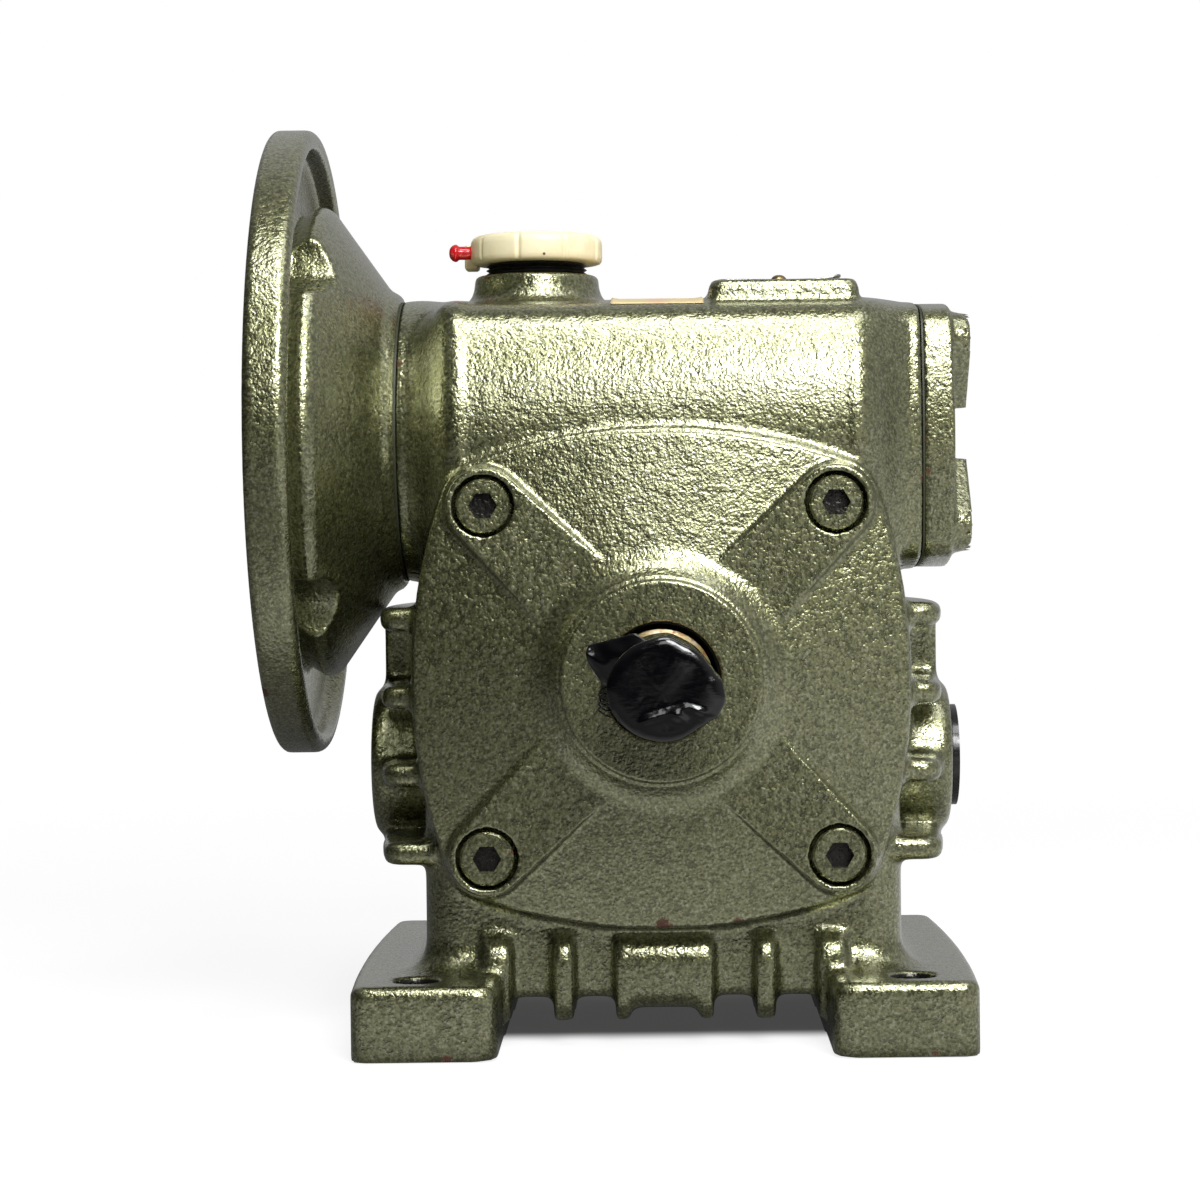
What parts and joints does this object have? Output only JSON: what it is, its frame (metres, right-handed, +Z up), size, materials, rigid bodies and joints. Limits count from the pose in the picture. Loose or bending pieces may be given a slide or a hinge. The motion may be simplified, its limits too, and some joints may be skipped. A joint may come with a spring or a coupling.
{
  "type": "worm gear reducer",
  "caption": "Foot-mounted worm gear reducer with a motor flange on the input side, a solid output shaft, cooling fins and a vented oil filler cap.",
  "frame": {"origin": "on the base plane under the output axis, at the centre of the four foot bolt holes", "axes": "+X along the worm axis away from the motor flange, -Y along the output shaft towards its free end, +Z up from the feet"},
  "size_m": [0.175, 0.1928, 0.23],
  "materials": {
    "paint": "semi-gloss",
    "gasket": "matte",
    "black_rubber": "satin",
    "bearing_steel": "polished",
    "cage_steel": "satin",
    "ground_steel": "satin",
    "dark_steel": "satin",
    "copper": "satin",
    "bronze": "satin",
    "iron": "matte",
    "black_plastic": "gloss",
    "clear_glass": "gloss",
    "cream_plastic": "satin",
    "red_plastic": "gloss",
    "plate_metal": "satin",
    "rivet_metal": "satin",
    "black_tape": "gloss"
  },
  "bodies": {
    "housing": {"casing": "paint", "front_cover": "paint", "rear_cover": "paint", "end_cover": "paint", "motor_flange": "paint", "front_cover_bolts": "paint", "rear_cover_bolts": "paint", "end_cover_bolts": "paint", "front_gasket": "gasket", "rear_gasket": "gasket", "end_gasket": "gasket", "flange_gasket": "gasket", "output_seal": "black_rubber", "input_seal": "black_rubber", "front_bearing_cup": "bearing_steel", "rear_bearing_cup": "bearing_steel", "motor_bearing_cup": "bearing_steel", "end_bearing_cup": "bearing_steel", "motor_flange_bolts": "dark_steel", "sight_glass_body": "black_plastic", "sight_glass_lens": "clear_glass", "sight_glass_gasket": "black_rubber", "level_plug": "dark_steel", "drain_plug": "dark_steel", "drain_plug_washer": "copper", "nameplate": "plate_metal", "nameplate_rivets": "rivet_metal"},
    "output_rotor": {"output_shaft": "ground_steel", "wheel_hub": "iron", "wheel_rim": "bronze", "wheel_key": "dark_steel", "rim_screws": "dark_steel", "shaft_spacer": "dark_steel", "shaft_tape": "black_tape", "front_bearing_cone": "bearing_steel", "front_bearing_cage": "cage_steel", "front_bearing_rollers": "bearing_steel", "rear_bearing_cone": "bearing_steel", "rear_bearing_cage": "cage_steel", "rear_bearing_rollers": "bearing_steel"},
    "worm_rotor": {"worm_shaft": "ground_steel", "motor_bearing_cone": "bearing_steel", "motor_bearing_cage": "cage_steel", "motor_bearing_rollers": "bearing_steel", "end_bearing_cone": "bearing_steel", "end_bearing_cage": "cage_steel", "end_bearing_rollers": "bearing_steel"},
    "oil_cap": {"filler_cap": "cream_plastic", "filler_gasket": "black_rubber"},
    "vent": {"vent_plug": "red_plastic"}
  },
  "joints": [
    {"name": "output_spin", "type": "hinge", "parent": "housing", "child": "output_rotor", "pos_m": [0, 0, 0.09], "axis": [0, 1, 0], "continuous": true},
    {"name": "worm_spin", "type": "hinge", "parent": "housing", "child": "worm_rotor", "pos_m": [0, 0, 0.15], "axis": [1, 0, 0], "continuous": true},
    {"name": "cap_lift", "type": "slide", "parent": "housing", "child": "oil_cap", "axis": [0, 0, 1], "range_m": [0, 0.03]},
    {"name": "vent_pull", "type": "slide", "parent": "oil_cap", "child": "vent", "axis": [-1, 0, 0], "range_m": [0, 0.008]}
  ],
  "couplings": [
    {"joint": "worm_spin", "follows": "output_spin", "ratio": -30}
  ]
}
